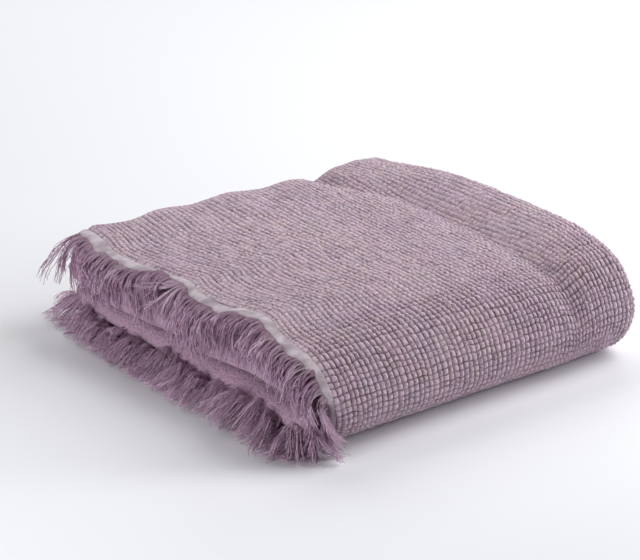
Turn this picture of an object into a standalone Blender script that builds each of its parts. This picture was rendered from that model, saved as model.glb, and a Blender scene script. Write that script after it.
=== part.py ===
"""A crinkled cotton throw with fringed ends, folded up and lying on a shelf.

The throw is cut flat, as one closed slab, and each of its points is then carried through three
folds in turn: in half across its width, in thirds along its length, and in half again over the
front. Metres, +Z up, lying on Z = 0, fringed end at -X, rounded front fold at -Y.
"""

import bisect
import math
import random

import bmesh
import bpy
from mathutils import Vector

# Cloth
CLOTH = 0.0058  # loft of the four-layer crinkled cotton
AIR = 0.0037  # air between one layer and the next
HEADING = 0.009  # plain woven heading along each fringed edge
PIECE_GAP = 0.0003  # between pieces that touch

# The folded throw
LENGTH = 0.433  # cut edge at the fringed end to the rounded far end
DEPTH = 0.478  # front fold to the edges at the back
INNER_FOLD_OUT = 0.026  # how far the inner fold stands out past the cut edge
TAIL_SHORT = 0.058  # how far the hidden end stops short of the far end
FRONT_AIR = 0.0080  # half the hollow inside the front fold
ARM_AIR = 0.0021  # half the gap between the upper and the lower half, away from the front
HOLLOW_LENGTH = 0.11  # how far that hollow takes to close

# Worked out from those
HALF_PACK = 2 * CLOTH + AIR  # folded in half
THIRD_PACK = 3 * HALF_PACK + 2 * AIR  # and then in thirds
FOLD_IN = AIR / 2  # inner radius of a pressed fold
FOLD_OUT = FOLD_IN + HALF_PACK  # outer radius of a fold of the doubled cloth
HALF_HEIGHT = THIRD_PACK + ARM_AIR
HEIGHT = 2 * HALF_HEIGHT
ARM = DEPTH - HALF_HEIGHT
FRONT_ARC = math.pi * HALF_HEIGHT
ROUND = 2 * ARM + FRONT_ARC  # from the lower back edge, over the front, to the upper one

FAR_FOLD_X = LENGTH - FOLD_OUT
NEAR_FOLD_X = FOLD_OUT - INNER_FOLD_OUT
FAR_FOLD_Z = 2 * HALF_PACK + 3 * FOLD_IN
NEAR_FOLD_Z = HALF_PACK + FOLD_IN
FOLD_ARC = math.pi * FOLD_OUT
MIDDLE_PANEL = FAR_FOLD_X - NEAR_FOLD_X
LAST_PANEL = LENGTH - TAIL_SHORT - NEAR_FOLD_X
FLAT_LENGTH = FAR_FOLD_X + MIDDLE_PANEL + LAST_PANEL + 2 * FOLD_ARC

TURN_RADIUS = (AIR + CLOTH) / 2
TURN_ARC = math.pi * TURN_RADIUS
RUN = ROUND - HALF_PACK / 2
FLAT_WIDTH = 2 * RUN + TURN_ARC

# How it has settled
PRESS = 0.22  # the lowest layer is pressed by this share, and the top one is as much looser
VALLEY_X = 0.343  # soft valley across the top, before the raised far roll
VALLEY_SLANT = 0.045  # how much nearer it comes to the fringed end at the front
VALLEY_SHARE = 0.050
VALLEY_HALF_WIDTH = 0.020
SLANT_DEPTH = 0.12
ROLL_SHARE = 0.070  # rise of the far roll, as a share of the height
ROLL_CROWN = 0.080  # what it rises more in the middle of its depth
ROLL_LENGTH = 0.050
END_BULGE = 0.008
CORNER_IN = 0.024  # how far the far front corner is drawn in
CORNER_DEPTH = 0.14
END_SHIFT = 0.023  # how far the fringed end runs out at the front
END_LEAN = 0.009  # and how much further at the back
END_UNDERCUT = 0.012  # how much less it runs out at the floor
EDGE_BUMP = 0.012
EDGE_BUMP_Y = 0.385
EDGE_BUMP_WIDTH = 0.045
END_REACH = 0.6  # share of the length over which those fade out
BACK_WAVE = 0.005
BACK_WAVE_TURNS = 17.0  # radians for each metre along X
BACK_WAVE_START = -3.2
BACK_LAYER_TURNS = 9.0  # radians from the floor to the top
BACK_REACH = 0.3  # share of the depth that the uneven back edges take up

# Fringe
NEAR_PITCH = 0.0094  # from lock to lock
FAR_PITCH = 0.0290
NEAR_LOCK_LENGTH = 0.046
FAR_LOCK_LENGTH = 0.036
LOCK_WIDTH = 0.0036
FAR_LOCK_WIDTH = 0.012
LOCK_THICKNESS = 0.0030
RING_SIZES = (1.0, 0.85, 0.4)  # a hanging lock's rings, from beyond its root to its tip
FLAT_RINGS = ((0.5, 1.0), (1.0, 0.45))  # a flat lock's rings: share of its length, size
UPPER_REST = LOCK_THICKNESS + 0.0008  # the doubled layer's locks lie on those of the lowest
LEVEL_FACING = 0.9 * math.pi  # past this the cloth faces down, and its locks lie on the floor
HANG_RADIUS = 0.0215
HANG_ANGLE = math.radians(88)
CURTAIN_SPACE = 0.0046  # how far the outer layer's locks hang outside the inner layer's
SHORTEST = 0.86
LONGEST = 1.08
SWAY = 0.0006
FRONT_SPLAY = 0.40  # how far the locks fan out round the front
BACK_SPLAY = 0.55  # and at the back edge
BACK_SPLAY_REACH = 0.06
BACK_LIFT = 0.55  # share of the bend that the locks at the back edge lack

# Mesh fineness, as numbers of steps
FINE_END = 0.16  # length of the far part of a panel that has closer steps
FINE_FRONT = 0.08  # and of the part of an arm next to the front fold
TOP_STEPS = (4, 6)
INNER_STEPS = (4, 3)
FOLD_STEPS = 6
ARM_STEPS = (4, 3)
FRONT_STEPS = 8
TURN_STEPS = 4
PATH_STEPS = 4  # short steps of a lock's path between two rings

LILAC = (0.46, 0.36, 0.42, 1.0)
MAUVE = (0.32, 0.21, 0.31, 1.0)


def smooth(value):
    """0 below 0, 1 above 1, and an even ease between."""
    value = min(1.0, max(0.0, value))
    return value * value * (3 - 2 * value)


def hump(value):
    return math.exp(-value * value)


def fold_in_half(across, lift):
    """Across the width: (distance round the front, height in the doubled pack)."""
    middle = HALF_PACK / 2
    if across <= RUN:
        return across, middle + FOLD_IN + lift
    turn = (across - RUN) / TURN_RADIUS
    if turn < math.pi:
        radius = FOLD_IN + lift
        return RUN + radius * math.sin(turn), middle + radius * math.cos(turn)
    return 2 * RUN + TURN_ARC - across, middle - FOLD_IN - lift


def fold_in_thirds(along, lift):
    """Along the length: (X, height in the pack of six). The fringed panel ends up on top."""
    if along <= FAR_FOLD_X:
        return along, FAR_FOLD_Z + FOLD_IN + lift
    along -= FAR_FOLD_X
    if along < FOLD_ARC:
        turn = along / FOLD_OUT
        radius = FOLD_IN + lift
        return FAR_FOLD_X + radius * math.sin(turn), FAR_FOLD_Z + radius * math.cos(turn)
    along -= FOLD_ARC
    if along <= MIDDLE_PANEL:
        return FAR_FOLD_X - along, FAR_FOLD_Z - FOLD_IN - lift
    along -= MIDDLE_PANEL
    if along < FOLD_ARC:
        turn = along / FOLD_OUT
        radius = FOLD_OUT - lift
        return NEAR_FOLD_X - radius * math.sin(turn), NEAR_FOLD_Z + radius * math.cos(turn)
    return NEAR_FOLD_X + along - FOLD_ARC, lift


def fold_over_front(round_front, lift):
    """Over the front: (Y, Z). The upper and lower halves lie on each other behind it."""
    into_arm = max(0.0, ARM - round_front, round_front - ARM - FRONT_ARC)
    hollow = FRONT_AIR + (ARM_AIR - FRONT_AIR) * smooth(into_arm / HOLLOW_LENGTH)
    radius = hollow + lift * (HALF_HEIGHT - hollow) / THIRD_PACK
    if round_front <= ARM:
        return DEPTH - round_front, HALF_HEIGHT - radius
    turn = (round_front - ARM) / HALF_HEIGHT
    if turn < math.pi:
        return HALF_HEIGHT - radius * math.sin(turn), HALF_HEIGHT - radius * math.cos(turn)
    return HALF_HEIGHT + round_front - ARM - FRONT_ARC, HALF_HEIGHT + radius


def settle(x, y, z):
    """The give of soft cloth: pressed below, loose above, and uneven at its edges."""
    share = z / HEIGHT
    front = 1 - smooth(y / SLANT_DEPTH)
    past_valley = x - VALLEY_X + VALLEY_SLANT * front
    far = smooth(past_valley / ROLL_LENGTH)
    crown = math.sin(math.pi * min(1.0, max(0.0, y / DEPTH)))
    roll = (ROLL_SHARE + ROLL_CROWN * crown) * far
    valley = VALLEY_SHARE * hump(past_valley / VALLEY_HALF_WIDTH)
    height = z * (1 - PRESS * (1 - share)) * (1 + roll - valley)
    near = 1 - smooth(x / (LENGTH * END_REACH))
    bump = EDGE_BUMP * hump((y - EDGE_BUMP_Y) / EDGE_BUMP_WIDTH) * smooth(share)
    out = END_SHIFT + END_LEAN * y / DEPTH - END_UNDERCUT * (1 - share) + bump
    bulge = END_BULGE * math.sin(math.pi * min(1.0, share)) * far
    corner = CORNER_IN * (1 - smooth(y / CORNER_DEPTH)) * far
    back = smooth(1 + (y / DEPTH - 1) / BACK_REACH)
    ripple = BACK_WAVE_TURNS * x + BACK_LAYER_TURNS * share + BACK_WAVE_START
    wave = BACK_WAVE * (math.sin(ripple) + 0.5 * math.sin(3.4 * BACK_LAYER_TURNS * share))
    return Vector((x - near * out + bulge - corner, y + back * wave, height))


def folded(along, across, lift):
    """Where a point of the flat throw ends up."""
    round_front, lift = fold_in_half(across, lift)
    x, lift = fold_in_thirds(along, lift)
    y, z = fold_over_front(round_front, lift)
    return settle(x, y, z)


def stations(spans):
    """Places along a line of spans, each given as (length, number of steps)."""
    places = [0.0]
    for length, count in spans:
        start = places[-1]
        places += [start + length * (index + 1) / count for index in range(count)]
    return places


def panel(length, steps, fine):
    """A panel's two spans: the plain part, and the part with closer steps."""
    return [(length - fine, steps[0]), (fine, steps[1])]


def stations_along():
    return stations(
        panel(FAR_FOLD_X, TOP_STEPS, FINE_END)
        + [(FOLD_ARC, FOLD_STEPS)]
        + panel(MIDDLE_PANEL, INNER_STEPS, FINE_END)[::-1]
        + [(FOLD_ARC, FOLD_STEPS)]
        + panel(LAST_PANEL, INNER_STEPS, FINE_END)
    )


def stations_across():
    lower = panel(ARM, ARM_STEPS, FINE_FRONT)
    upper = panel(RUN - ARM - FRONT_ARC, ARM_STEPS, FINE_FRONT)[::-1]
    over = lower + [(FRONT_ARC, FRONT_STEPS)] + upper
    return stations(over + [(TURN_ARC, TURN_STEPS)] + over[::-1])


ACROSS = stations_across()


def carried(along, across, lift):
    """As folded, but straight between the cloth's own stations, for pieces that meet its edge."""
    index = max(1, min(bisect.bisect_left(ACROSS, across), len(ACROSS) - 1))
    before, after = ACROSS[index - 1], ACROSS[index]
    share = (across - before) / (after - before)
    return folded(along, before, lift).lerp(folded(along, after, lift), share)


def flat_slab(along, across, thickness):
    """A closed slab in the flat: a grid on the given stations, raised to its thickness."""
    mesh = bmesh.new()
    columns = len(along) - 1
    rows = len(across) - 1
    bmesh.ops.create_grid(mesh, x_segments=columns, y_segments=rows, size=1.0)
    for vert in mesh.verts:
        column = round((vert.co.x + 1) / 2 * columns)
        row = round((vert.co.y + 1) / 2 * rows)
        vert.co = Vector((along[column], across[row], 0.0))
    raised = bmesh.ops.extrude_face_region(mesh, geom=mesh.faces[:])
    lifted = [item for item in raised["geom"] if isinstance(item, bmesh.types.BMVert)]
    bmesh.ops.translate(mesh, verts=lifted, vec=(0.0, 0.0, thickness))
    bmesh.ops.recalc_face_normals(mesh, faces=mesh.faces[:])
    return mesh


def edge_steps(pitch):
    """Stations along a fringed edge, and the steps between them that carry a lock.

    The cloth's own stations are among them. Under the half fold the locks stand half a step
    over, so that they come down between those of the other layer.
    """
    places = [0.0]
    locks = []
    for before, after in zip(ACROSS, ACROSS[1:]):
        if RUN - PIECE_GAP < before < RUN + TURN_ARC - PIECE_GAP:
            places.append(after)
            continue
        count = max(1, round((after - before) / pitch))
        step = (after - before) / count
        start = before
        if before > RUN and count > 1:
            count -= 1
            start += step / 2
            places.append(start)
        locks += [(start + index * step, start + (index + 1) * step) for index in range(count)]
        places += [start + (index + 1) * step for index in range(count - 1)]
        if start > before:
            places.append(start + count * step)
        places.append(after)
    return places, locks


def lock_roots(mesh, along, locks):
    """(place across, face) of each lock's root on the slab's edge at this station."""
    found = []
    for face in mesh.faces:
        centre = face.calc_center_median()
        if abs(face.normal.x) > 0.5 and abs(centre.x - along) < PIECE_GAP / 2:
            if any(start < centre.y < end for start, end in locks):
                found.append((centre.y, face))
    found.sort(key=lambda item: item[0])
    return found


def fold_up(mesh):
    for vert in mesh.verts:
        vert.co = carried(*vert.co)


def grow(mesh, face, rings):
    """Draws a face out through rings, each given as its four corners in the face's order."""
    for ring in rings:
        made = bmesh.ops.extrude_discrete_faces(mesh, faces=[face])
        face = made["faces"][0]
        for vert, corner in zip(face.verts, ring):
            vert.co = corner


def finish(mesh, name, colour, roughness):
    bmesh.ops.recalc_face_normals(mesh, faces=mesh.faces[:])
    data = bpy.data.meshes.new(name)
    mesh.to_mesh(data)
    mesh.free()
    data.shade_smooth()
    material = bpy.data.materials.new(name + "_cotton")
    material.use_nodes = True
    shader = material.node_tree.nodes["Principled BSDF"]
    shader.inputs["Base Color"].default_value = colour
    shader.inputs["Roughness"].default_value = roughness
    data.materials.append(material)
    piece = bpy.data.objects.new(name, data)
    bpy.context.scene.collection.objects.link(piece)
    return piece


def make_cloth():
    mesh = flat_slab(stations_along(), ACROSS, CLOTH)
    fold_up(mesh)
    return finish(mesh, "blanket_cloth", LILAC, 0.9)


def facing_of(round_front):
    """Angle from straight up of the outer face there: 0 on top, pi underneath."""
    turn = min(math.pi, max(0.0, (round_front - ARM) / HALF_HEIGHT))
    return math.pi - turn


def hanging_path(root, facing, outer, length):
    """Ring centres, and the way the lock runs at each: level at first, then down.

    On top it bends down over the inner fold, it bends less round the front, and underneath
    it comes to rest on the floor.
    """
    back = smooth(1 + (root.y - DEPTH) / BACK_SPLAY_REACH)
    bend = HANG_ANGLE * smooth(0.5 + 0.5 * math.cos(facing)) * (1 - BACK_LIFT * back)
    radius = HANG_RADIUS + (CURTAIN_SPACE if outer else 0.0)
    splay = BACK_SPLAY * back - FRONT_SPLAY * math.sin(facing) ** 2
    floor_share = smooth((facing - 0.7 * math.pi) / (0.2 * math.pi))
    step = length / (PATH_STEPS * len(RING_SIZES))
    place = root.copy()
    path = []
    for index in range(PATH_STEPS * len(RING_SIZES)):
        angle = min(bend, (index + 0.5) * step / radius)
        way = Vector((-math.cos(angle), splay, -math.sin(angle))).normalized()
        place = place + way * step
        if (index + 1) % PATH_STEPS == 0:
            size = RING_SIZES[len(path)]
            rest = LOCK_THICKNESS * size / 2 + (0.0 if outer else UPPER_REST)
            drop = smooth(1.3 * (len(path) + 1) / len(RING_SIZES)) * floor_share
            low = place.z + (rest - place.z) * drop
            path.append((Vector((place.x, place.y, max(rest, low))), way, size))
    return path


def hanging_rings(corners, path, level):
    """A lock's rings: as wide as the lock along the edge, and as thick across its path."""
    centre = sum(corners, Vector()) / len(corners)
    rings = []
    for place, way, size in path:
        side = (corners[1] - corners[0] + corners[2] - corners[3]).normalized()
        if level:
            way.z = 0.0
            side.z = 0.0
        side = (side - way * side.dot(way)).normalized()
        across = way.cross(side).normalized()
        ring = []
        for corner in corners:
            offset = corner - centre
            wide = math.copysign(LOCK_WIDTH * size / 2, offset.dot(side))
            thick = math.copysign(LOCK_THICKNESS * size / 2, offset.dot(across))
            ring.append(place + side * wide + across * thick)
        lowest = min(corner.z for corner in ring)
        lift = Vector((0.0, 0.0, max(0.0, -lowest)))
        rings.append([corner + lift for corner in ring])
    return rings


def make_near_fringe():
    """The heading and fringe that show, along both layers of the top panel."""
    across, locks = edge_steps(NEAR_PITCH)
    mesh = flat_slab([-HEADING, -PIECE_GAP], across, CLOTH)
    roots = lock_roots(mesh, -HEADING, locks)
    fold_up(mesh)
    rng = random.Random(7)
    for place, face in roots:
        round_front, _ = fold_in_half(place, 0.0)
        facing = facing_of(round_front)
        corners = [vert.co.copy() for vert in face.verts]
        root = sum(corners, Vector()) / len(corners)
        length = NEAR_LOCK_LENGTH * rng.uniform(SHORTEST, LONGEST)
        path = hanging_path(root, facing, place < RUN, length)
        sway = Vector((0.0, rng.uniform(-SWAY, SWAY), 0.0))
        path = [(point + sway, way, size) for point, way, size in path]
        grow(mesh, face, hanging_rings(corners, path, facing > LEVEL_FACING))
    return finish(mesh, "fringe_open_end", MAUVE, 0.95)


def flat_rings(place, corners):
    """Rings of a lock that lies straight out from the tucked end, in the cloth's own layer."""
    centre = sum(corners, Vector()) / len(corners)
    rings = []
    for share, size in FLAT_RINGS:
        half_width = FAR_LOCK_WIDTH / 2 * size
        half_thickness = LOCK_THICKNESS / 2 * size
        rings.append([
            carried(
                FLAT_LENGTH + HEADING + FAR_LOCK_LENGTH * share,
                place + math.copysign(half_width, corner.y - centre.y),
                CLOTH / 2 + math.copysign(half_thickness, corner.z - centre.z),
            )
            for corner in corners
        ])
    return rings


def make_far_fringe():
    """The other end's heading and fringe, lying flat between the layers."""
    across, locks = edge_steps(FAR_PITCH)
    mesh = flat_slab([FLAT_LENGTH + PIECE_GAP, FLAT_LENGTH + HEADING], across, CLOTH)
    roots = lock_roots(mesh, FLAT_LENGTH + HEADING, locks)
    drawn = [
        (face, flat_rings(place, [vert.co.copy() for vert in face.verts]))
        for place, face in roots
    ]
    fold_up(mesh)
    for face, rings in drawn:
        grow(mesh, face, rings)
    return finish(mesh, "fringe_tucked_end", MAUVE, 0.95)


def main():
    for existing in list(bpy.data.objects):
        bpy.data.objects.remove(existing, do_unlink=True)
    pieces = [make_cloth(), make_near_fringe(), make_far_fringe()]
    corners = [vert.co for piece in pieces for vert in piece.data.vertices]
    middle_x = (max(co.x for co in corners) + min(co.x for co in corners)) / 2
    middle_y = (max(co.y for co in corners) + min(co.y for co in corners)) / 2
    for piece in pieces:
        for vert in piece.data.vertices:
            vert.co -= Vector((middle_x, middle_y, 0.0))


main()
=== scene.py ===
"""A crinkled cotton throw with fringed ends, folded up and lying on a white studio floor.

The cloth is woven flat, as ribs and rows of puffed cells, and is then carried through the same
three folds as the solids: in half across its width, in thirds along its length, and in half
again over the front. Metres, +Z up, fringed end at -X, rounded front fold at -Y.
"""

import math
import random

import bmesh
import bpy
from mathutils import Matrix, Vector, noise


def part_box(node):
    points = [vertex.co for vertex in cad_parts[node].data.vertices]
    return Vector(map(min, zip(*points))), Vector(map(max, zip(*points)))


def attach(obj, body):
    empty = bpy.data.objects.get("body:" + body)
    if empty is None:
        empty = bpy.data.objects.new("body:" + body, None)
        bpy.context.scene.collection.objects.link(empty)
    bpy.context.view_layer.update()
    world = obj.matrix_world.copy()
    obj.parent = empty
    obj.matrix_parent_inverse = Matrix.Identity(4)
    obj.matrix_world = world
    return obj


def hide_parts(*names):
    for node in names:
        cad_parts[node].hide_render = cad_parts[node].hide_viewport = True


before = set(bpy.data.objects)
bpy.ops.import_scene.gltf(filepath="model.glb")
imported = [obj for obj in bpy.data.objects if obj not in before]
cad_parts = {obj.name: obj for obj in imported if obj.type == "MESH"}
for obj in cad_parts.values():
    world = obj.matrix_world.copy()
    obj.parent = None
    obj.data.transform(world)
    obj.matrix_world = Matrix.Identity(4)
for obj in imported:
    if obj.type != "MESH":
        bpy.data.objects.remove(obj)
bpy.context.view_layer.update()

# Seeds, so that everything comes out the same each time
NOISE_SEED = 7
ROW_SEED = 5
HIDDEN_SEED = 11
OUTER_SEED = 21
INNER_SEED = 22

# Cloth
CLOTH = 0.0058  # loft of the four-layer crinkled cotton
AIR = 0.0037  # air between one layer and the next
HEADING = 0.009  # plain woven heading along each fringed edge

# The folded throw
LENGTH = 0.433  # cut edge at the fringed end to the rounded far end
DEPTH = 0.478  # front fold to the edges at the back
INNER_FOLD_OUT = 0.026  # how far the inner fold stands out past the cut edge
TAIL_SHORT = 0.058  # how far the hidden end stops short of the far end
FRONT_AIR = 0.0080  # half the hollow inside the front fold
ARM_AIR = 0.0021  # half the gap between the upper and the lower half, away from the front
HOLLOW_LENGTH = 0.11  # how far that hollow takes to close

# Worked out from those
HALF_PACK = 2 * CLOTH + AIR  # folded in half
THIRD_PACK = 3 * HALF_PACK + 2 * AIR  # and then in thirds
FOLD_IN = AIR / 2  # inner radius of a pressed fold
FOLD_OUT = FOLD_IN + HALF_PACK  # outer radius of a fold of the doubled cloth
HALF_HEIGHT = THIRD_PACK + ARM_AIR
HEIGHT = 2 * HALF_HEIGHT
ARM = DEPTH - HALF_HEIGHT
FRONT_ARC = math.pi * HALF_HEIGHT
ROUND = 2 * ARM + FRONT_ARC  # from the lower back edge, over the front, to the upper one

FAR_FOLD_X = LENGTH - FOLD_OUT
NEAR_FOLD_X = FOLD_OUT - INNER_FOLD_OUT
FAR_FOLD_Z = 2 * HALF_PACK + 3 * FOLD_IN
NEAR_FOLD_Z = HALF_PACK + FOLD_IN
FOLD_ARC = math.pi * FOLD_OUT
MIDDLE_PANEL = FAR_FOLD_X - NEAR_FOLD_X
LAST_PANEL = LENGTH - TAIL_SHORT - NEAR_FOLD_X
FLAT_LENGTH = FAR_FOLD_X + MIDDLE_PANEL + LAST_PANEL + 2 * FOLD_ARC

TURN_RADIUS = (AIR + CLOTH) / 2
TURN_ARC = math.pi * TURN_RADIUS
RUN = ROUND - HALF_PACK / 2
FLAT_WIDTH = 2 * RUN + TURN_ARC
TOP_START = ARM + FRONT_ARC  # where the flat top begins, behind the front fold

# How it has settled
PRESS = 0.22  # the lowest layer is pressed by this share, and the top one is as much looser
VALLEY_X = 0.343  # soft valley across the top, before the raised far roll
VALLEY_SLANT = 0.018  # how much nearer it comes to the fringed end at the front
VALLEY_SHARE = 0.050
VALLEY_HALF_WIDTH = 0.016
SLANT_DEPTH = 0.22
ROLL_SHARE = 0.070  # rise of the far roll, as a share of the height
ROLL_CROWN = 0.070  # what it rises more in the middle of its depth
ROLL_LENGTH = 0.062
END_BULGE = 0.008
CORNER_IN = 0.024  # how far the far front corner is drawn in
CORNER_DEPTH = 0.14
END_SHIFT = 0.023  # how far the fringed end runs out at the front
END_LEAN = 0.009  # and how much further at the back
END_UNDERCUT = 0.012  # how much less it runs out at the floor
EDGE_BUMP = 0.012
EDGE_BUMP_Y = 0.385
EDGE_BUMP_WIDTH = 0.045
EDGE_DENTS = ((0.018, 0.143, 0.040), (0.009, 0.272, 0.022))  # drawn in by, at Y, over
END_REACH = 0.6  # share of the length over which these fade out
BACK_WAVE = 0.005
BACK_WAVE_TURNS = 17.0  # radians for each metre along X
BACK_WAVE_START = -3.2
BACK_LAYER_TURNS = 9.0  # radians from the floor to the top
BACK_FINE = 0.5  # a finer wave from layer to layer, against the first one
BACK_FINE_TURNS = 3.4
BACK_REACH = 0.3  # share of the depth that the uneven back edges take up

# Finer give, past what the solid has
VALLEY_BACK = 0.043  # how much nearer the fringed end the valley comes at the back
VALLEY_BACK_REACH = 0.15
ROLL_BACK_LENGTH = 0.026  # how much longer the roll takes to rise there
END_TIP = 0.007  # how much further the far end leans out at the top than at the floor
END_TIP_LEVEL = 0.42
CORNER_LENGTH = 0.10  # how far along the drawn-in corner is spread
FAR_BACK_IN = 0.018  # how far the far back corner is drawn in
NEAR_BACK = (-0.003, 0.000, 0.002)  # how the fringed end's back corner is drawn out and up
NEAR_BACK_REACH = 0.055
HEM_RISE = 0.0024  # how far the top layers stand up along the back edge
HEM_WAVE = 0.0019  # and the soft waves in them
HEM_TURNS = 76.0  # radians for each metre along X
HEM_START = -5.6
FAR_BACK_DROP = 0.058  # fall of the far back corner, as a share of the height
CORNER_REACH = 0.060
SHOULDER_DROP = 0.055  # fall of the top towards the front, as a share of the height
SHOULDER_REACH = 0.17
ROLL_HOLDS = 0.45  # share of that fall which the far roll doesn't follow
HALVES_SAG = 0.007  # how far the upper half sags onto the lower at the fringed end
HALVES_SPREAD = 0.026
HALVES_START = 0.02  # how far behind the front fold the sag starts
HALVES_REACH = 0.12

# Crinkle
RIBS = 73  # from the heading to the end of the far fold
MIDDLE_STEPS = 14  # plain steps along the middle panel
FOLD_STEPS = 10  # round the near fold
LAST_STEPS = 12  # and along the last panel
UNDER_STEPS = 20  # plain steps across the outer layer, under the throw
TURN_STEPS = 4  # round the turn at the back
INNER_STEPS = (24, 18, 24)  # and along the inner layer: on top, over the front, underneath
ROW_SHORTEST = 0.0056
ROW_LONGEST = 0.0106
ROWS_START = ARM - 0.02  # the lowest crinkled row, a little way under the front
RIB_CUTS = 3
FRONT_CUTS = 3  # cuts of each row over the front
TOP_CUTS = 1  # and on the flat top
TOP_CUTS_FROM = 0.03  # how far behind the front fold these start
CROWDING = 0.070  # how far the steps within a cell crowd towards its grooves
DOME = 2.2  # a higher power makes flatter cells and narrower grooves
FRONT_PUFF = 0.0038
TOP_PUFF = 0.0023  # the flat top is slack
FRONT_SUNK = 0.0021  # how far the grooves lie below the solid's face
TOP_SUNK = 0.0013
FRONT_GROOVE = 0.95  # depth of the grooves between rows, against those between ribs
TOP_GROOVE = 0.66
SLACK_BEFORE = 0.02  # how far in front of the flat top the cloth starts to lie slack
SLACK_REACH = 0.13
RIB_WANDER = 0.0013
RIB_DRIFT = 0.0030  # slow waves of the ribs
ROW_WANDER = 0.0019
FRONT_STAGGER = 0.0012
TOP_STAGGER = 0.0075  # rows break up on the flat top
CELL_UNEVEN = 0.45  # how much the puffs differ from each other
PATCH_UNEVEN = 0.30  # and whole patches of them
WRINKLE = 0.0008  # soft unevenness of the plain faces
WRINKLE_TURNS = (40, 28)  # wrinkles for each metre, along and across
EDGE_TAPER = 0.010  # width over which the loft closes towards an edge
EDGE_LOFT = 0.30  # what is left of it there
EDGE_HOLD = 0.01  # width over which the heading keeps the ribs in line
HELD = 0.80  # how firmly the stitches hold the grooves down
FRONT_HELD = 0.35  # and how unevenly
TOP_HELD = 1.1
INNER_SHADE_REACH = 0.035  # how far in from the fringed end painted shade lies on the plain inner folds
INNER_SHADE_FADE = 0.02
RAISED_SIDE = 0.9  # faces above this height of the flat slab are its outer side
SAME_LINE = 0.01  # corners nearer than this lie on one rib or row
CRINKLE_FADE = 1.5  # cells over which the crinkle dies out at its edges
BACK_FADE = 3.5  # how many times as many at the back edge

# Heading
TAPE = 0.0013  # thickness of the heading
TAPE_STEP = 0.0022
TAPE_COLUMNS = 4
TAPE_LEVEL = 0.55  # share of the cloth's loft at which it lies
TAPE_LAP = 0.0012  # how far it runs onto the cloth
TAPE_FRAY = 0.0006  # unevenness of its outer edge
TAPE_EASE = 0.8  # share of its lift that is gone at the cloth
TAPE_BOW = 0.0012  # how far it bows up where it is narrow
TAPE_WAVE = 0.0011
LIFT_TURNS = 45  # how quickly its lift, shift, width and outer edge change, for each metre
SHIFT_TURNS = 70
NARROW_TURNS = 32
FRAY_TURNS = 400
TAPE_FOLD = 0.038  # from one small fold in the heading to the next
TAPE_FOLD_SLOPE = 0.15  # share of that which the slope between two takes up
TAPE_FOLD_SHIFT = 0.0030
TAPE_FOLD_LIFT = 0.0022
TAPE_WIDEST = 1.20  # against HEADING
TAPE_NARROW = 0.90  # the heading turns partly on edge in places
TAPE_NARROW_MEAN = 0.50  # how much of that it does on average
TAPE_NARROW_UNEVEN = 1.2
TAPE_ON_EDGE = TOP_START + 0.200  # most of all here
TAPE_ON_EDGE_REACH = 0.050
TAPE_ON_EDGE_MORE = 1.4
TAPE_TUCKED = TOP_START - 0.068  # below here the tufts cover it
TAPE_TUCKED_REACH = 0.012
TAPE_TUCKED_MORE = 1.5
BUCKLE_ACROSS = TOP_START + 0.252  # where the heading has buckled up
BUCKLE_WIDTH = 0.012
BUCKLE_LIFT = 0.006
BUCKLE_NARROW = 0.5

# Fringe
LOCK_PITCH = 0.0064
LOCK_THREADS = 14
LOCK_OVERLAP = 1.15
THREAD_RINGS = 12
THREAD_HALF = 0.00058
THREAD_TIP = 0.55  # a thread's thickness at its tip, against that at its root
THREAD_IN = 0.002  # how far its root lies inside the heading
OUTERMOST = -0.090  # no thread runs further out than this
REARMOST = 0.512  # or further back
LIMIT_REACH = 0.012  # how far before those limits the threads turn away
FLOOR = 0.0

# The locks' lengths
HANGING_SHORT = 0.050  # the hanging locks near the front
HANGING_LONG = 0.059  # and towards the back
HANGING_GROWTH = 1.5  # how soon behind the front they reach that
FLOOR_SHORT = 0.060  # the locks that lie on the floor
FLOOR_LONG = 0.091  # and those that stand up first
RISE = (0.05, 1.05)  # how much a lock stands up first: least and most
RISE_SLOW = 0.3  # how much that changes slowly along the edge
RISE_BACK = 0.4  # and grows towards the back
OUTER_BACK_LONGER = 0.80  # by how much the locks of the back corner are longer
INNER_BACK_LONGER = 0.95
RAGGED = (0.86, 1.06)
THREAD_LENGTHS = (0.78, 1.04)  # a thread's length, against its lock's

# Their bends, as radii, and turns, in degrees
BEND = (0.0180, 0.0225)  # radius in which the outer layer's threads turn down
INNER_BEND = (0.0165, 0.0185)
CORNER_BEND = (0.0070, 0.0126)  # radius in which the tufts of the front corner turn down
BACK_WIDER = 0.9
TURNED = 88
SPLAY_TURNED = 22  # how much less where they fan out
STRAY_TURNED = 62
TUFT_TURNED = 16  # how much more in the tufts
CURL = (-0.5, 0.9)  # how much more a lock turns by its tip, in radians
FANNED_EVEN = 0.4  # how much of that is lost in the back corner
FANNED_OUT = 0.35  # and how much less those locks turn down

# How far they sway along the edge, for each metre outwards
SWAY_DRIFT = 0.30  # from lock to lock
SWAY_SLOW = 0.25  # slowly along the edge
SWAY_LOCK = 0.20  # at random
SWAY_THREAD = 0.09
FLARE = (0.0010, 0.0028)  # how far threads stray from their lock, out and along
WAVES = ((1.0, 0.34), (2.6, 0.44))  # a thread's waves: how short, and how strong
WAVE_TURNS = 3.2
WAVE_SOON = 3  # how soon along a thread its waves and its sway come
SWAY_SOON = 1.8
UNLIKE = 1.2  # how unlike each other the waves in one lock are

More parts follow.
